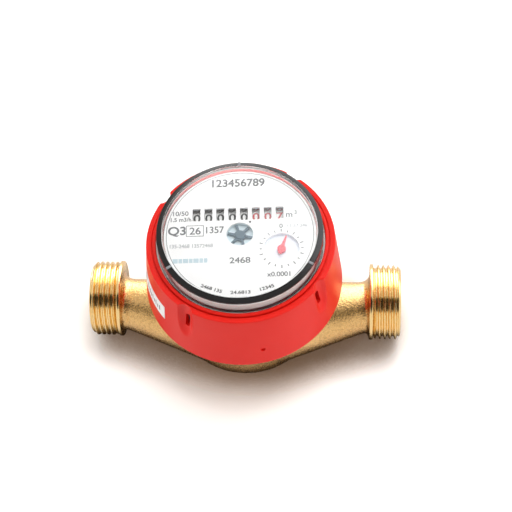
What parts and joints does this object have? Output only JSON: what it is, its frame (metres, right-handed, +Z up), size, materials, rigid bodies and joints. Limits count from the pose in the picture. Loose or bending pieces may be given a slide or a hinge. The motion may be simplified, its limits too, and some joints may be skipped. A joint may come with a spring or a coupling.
{
  "type": "water meter",
  "caption": "Single-jet water meter with threaded brass pipe ends, a red retaining ring, an impeller and a dry register with number rollers under a clear lens.",
  "frame": {"origin": "middle of the flat base under the bowl", "axes": "+X along the flow from inlet to outlet, +Z up through the dial"},
  "size_m": [0.11, 0.0688, 0.0635],
  "materials": {
    "cast_brass": "sandblasted casting with turned threads",
    "turned_brass": "turned",
    "red_plastic": "moulded, semi-gloss",
    "label": "paper label",
    "white_moulding": "moulded",
    "dial_white": "printed dial",
    "roller_white": "moulded, printed",
    "clear_lens": "clear moulding",
    "black_gloss": "gloss moulding",
    "seal_rubber": "black rubber",
    "steel": "ground",
    "magnet": "ferrite",
    "jewel": "polished",
    "plate_grey": "glass-filled moulding",
    "frame_grey": "moulded",
    "gear_plastic": "acetal moulding",
    "star_blue": "moulded",
    "pointer_red": "moulded"
  },
  "bodies": {
    "meter_body": {"body": "cast_brass", "inlet_strainer": "white_moulding", "lower_pivot_pin": "steel", "plate_seal": "seal_rubber", "pressure_plate": "plate_grey", "upper_pivot_bush": "turned_brass", "clamp_ring": "turned_brass", "shield_ring": "steel", "retaining_ring": "red_plastic", "side_label": "label"},
    "impeller": {"impeller": "white_moulding", "pivot_jewel": "jewel", "impeller_magnet": "magnet", "upper_pivot_pin": "steel"},
    "register": {"register_case": "white_moulding", "train_plate": "frame_grey", "roller_bracket": "frame_grey", "roller_shaft": "steel", "pinion_shaft": "steel", "dial_plate": "dial_white", "lens": "clear_lens", "lens_seal": "seal_rubber", "bezel_ring": "black_gloss"},
    "spindle": {"spindle": "steel", "driven_magnet": "magnet", "star_indicator": "star_blue"},
    "first_wheel": {"first_wheel": "gear_plastic"},
    "second_wheel": {"second_wheel": "gear_plastic"},
    "pointer": {"pointer_wheel": "gear_plastic", "worm": "gear_plastic", "pointer": "pointer_red"},
    "cross_arbor": {"cross_arbor": "gear_plastic"},
    "roller_1": {"roller_1": "roller_white"},
    "roller_2": {"roller_2": "roller_white"},
    "roller_3": {"roller_3": "roller_white"},
    "roller_4": {"roller_4": "roller_white"},
    "roller_5": {"roller_5": "roller_white"},
    "roller_6": {"roller_6": "roller_white"},
    "roller_7": {"roller_7": "roller_white"},
    "roller_8": {"roller_8": "roller_white"},
    "transfer_pinion_1": {"transfer_pinion_1": "gear_plastic"},
    "transfer_pinion_2": {"transfer_pinion_2": "gear_plastic"},
    "transfer_pinion_3": {"transfer_pinion_3": "gear_plastic"},
    "transfer_pinion_4": {"transfer_pinion_4": "gear_plastic"},
    "transfer_pinion_5": {"transfer_pinion_5": "gear_plastic"},
    "transfer_pinion_6": {"transfer_pinion_6": "gear_plastic"},
    "transfer_pinion_7": {"transfer_pinion_7": "gear_plastic"}
  },
  "joints": [
    {"name": "impeller_spin", "type": "hinge", "parent": "meter_body", "child": "impeller", "pos_m": [0, 0, 0.017], "axis": [0, 0, 1], "continuous": true},
    {"name": "register_turn", "type": "hinge", "parent": "meter_body", "child": "register", "pos_m": [0, 0, 0.035], "axis": [0, 0, 1], "continuous": true},
    {"name": "spindle_spin", "type": "hinge", "parent": "register", "child": "spindle", "pos_m": [0, 0, 0.045], "axis": [0, 0, 1], "continuous": true},
    {"name": "first_wheel_spin", "type": "hinge", "parent": "register", "child": "first_wheel", "pos_m": [-0.00852, -0.00914, 0.042], "axis": [0, 0, 1], "continuous": true},
    {"name": "second_wheel_spin", "type": "hinge", "parent": "register", "child": "second_wheel", "pos_m": [0.00336, -0.01077, 0.042], "axis": [0, 0, 1], "continuous": true},
    {"name": "pointer_spin", "type": "hinge", "parent": "register", "child": "pointer", "pos_m": [0.01412, -0.00545, 0.042], "axis": [0, 0, 1], "continuous": true},
    {"name": "cross_arbor_spin", "type": "hinge", "parent": "register", "child": "cross_arbor", "pos_m": [0.0139, -0.00122, 0.0513], "axis": [0.9986, 0.0523, 0], "continuous": true},
    {"name": "roller_1_spin", "type": "hinge", "parent": "register", "child": "roller_1", "pos_m": [-0.015, 0.00728, 0.0513], "axis": [0.9986, 0.0523, 0], "continuous": true},
    {"name": "roller_2_spin", "type": "hinge", "parent": "register", "child": "roller_2", "pos_m": [-0.01101, 0.00748, 0.0513], "axis": [0.9986, 0.0523, 0], "continuous": true},
    {"name": "roller_3_spin", "type": "hinge", "parent": "register", "child": "roller_3", "pos_m": [-0.00701, 0.00769, 0.0513], "axis": [0.9986, 0.0523, 0], "continuous": true},
    {"name": "roller_4_spin", "type": "hinge", "parent": "register", "child": "roller_4", "pos_m": [-0.00302, 0.0079, 0.0513], "axis": [0.9986, 0.0523, 0], "continuous": true},
    {"name": "roller_5_spin", "type": "hinge", "parent": "register", "child": "roller_5", "pos_m": [0.00098, 0.00811, 0.0513], "axis": [0.9986, 0.0523, 0], "continuous": true},
    {"name": "roller_6_spin", "type": "hinge", "parent": "register", "child": "roller_6", "pos_m": [0.00497, 0.00832, 0.0513], "axis": [0.9986, 0.0523, 0], "continuous": true},
    {"name": "roller_7_spin", "type": "hinge", "parent": "register", "child": "roller_7", "pos_m": [0.00897, 0.00853, 0.0513], "axis": [0.9986, 0.0523, 0], "continuous": true},
    {"name": "roller_8_spin", "type": "hinge", "parent": "register", "child": "roller_8", "pos_m": [0.01296, 0.00874, 0.0513], "axis": [0.9986, 0.0523, 0], "continuous": true},
    {"name": "transfer_pinion_1_spin", "type": "hinge", "parent": "register", "child": "transfer_pinion_1", "pos_m": [-0.01328, 0.01273, 0.0468], "axis": [0.9986, 0.0523, 0], "continuous": true},
    {"name": "transfer_pinion_2_spin", "type": "hinge", "parent": "register", "child": "transfer_pinion_2", "pos_m": [-0.00929, 0.01294, 0.0468], "axis": [0.9986, 0.0523, 0], "continuous": true},
    {"name": "transfer_pinion_3_spin", "type": "hinge", "parent": "register", "child": "transfer_pinion_3", "pos_m": [-0.0053, 0.01315, 0.0468], "axis": [0.9986, 0.0523, 0], "continuous": true},
    {"name": "transfer_pinion_4_spin", "type": "hinge", "parent": "register", "child": "transfer_pinion_4", "pos_m": [-0.0013, 0.01336, 0.0468], "axis": [0.9986, 0.0523, 0], "continuous": true},
    {"name": "transfer_pinion_5_spin", "type": "hinge", "parent": "register", "child": "transfer_pinion_5", "pos_m": [0.00269, 0.01357, 0.0468], "axis": [0.9986, 0.0523, 0], "continuous": true},
    {"name": "transfer_pinion_6_spin", "type": "hinge", "parent": "register", "child": "transfer_pinion_6", "pos_m": [0.00669, 0.01378, 0.0468], "axis": [0.9986, 0.0523, 0], "continuous": true},
    {"name": "transfer_pinion_7_spin", "type": "hinge", "parent": "register", "child": "transfer_pinion_7", "pos_m": [0.01068, 0.01399, 0.0468], "axis": [0.9986, 0.0523, 0], "continuous": true}
  ],
  "couplings": [
    {"joint": "spindle_spin", "follows": "impeller_spin", "ratio": 1},
    {"joint": "first_wheel_spin", "follows": "impeller_spin", "ratio": -0.25},
    {"joint": "second_wheel_spin", "follows": "impeller_spin", "ratio": 0.083333},
    {"joint": "pointer_spin", "follows": "impeller_spin", "ratio": -0.027778},
    {"joint": "cross_arbor_spin", "follows": "impeller_spin", "ratio": 0.0027778},
    {"joint": "roller_8_spin", "follows": "impeller_spin", "ratio": -0.0027778},
    {"joint": "roller_7_spin", "follows": "impeller_spin", "ratio": -0.00027778},
    {"joint": "roller_6_spin", "follows": "impeller_spin", "ratio": -0.000027778},
    {"joint": "roller_5_spin", "follows": "impeller_spin", "ratio": -0.0000027778},
    {"joint": "roller_4_spin", "follows": "impeller_spin", "ratio": -0.00000027778},
    {"joint": "roller_3_spin", "follows": "impeller_spin", "ratio": -0.000000027778},
    {"joint": "roller_2_spin", "follows": "impeller_spin", "ratio": -0.0000000027778},
    {"joint": "roller_1_spin", "follows": "impeller_spin", "ratio": -0.00000000027778},
    {"joint": "transfer_pinion_1_spin", "follows": "impeller_spin", "ratio": 0.00000000069444},
    {"joint": "transfer_pinion_2_spin", "follows": "impeller_spin", "ratio": 0.0000000069444},
    {"joint": "transfer_pinion_3_spin", "follows": "impeller_spin", "ratio": 0.000000069444},
    {"joint": "transfer_pinion_4_spin", "follows": "impeller_spin", "ratio": 0.00000069444},
    {"joint": "transfer_pinion_5_spin", "follows": "impeller_spin", "ratio": 0.0000069444},
    {"joint": "transfer_pinion_6_spin", "follows": "impeller_spin", "ratio": 0.000069444},
    {"joint": "transfer_pinion_7_spin", "follows": "impeller_spin", "ratio": 0.00069444}
  ]
}
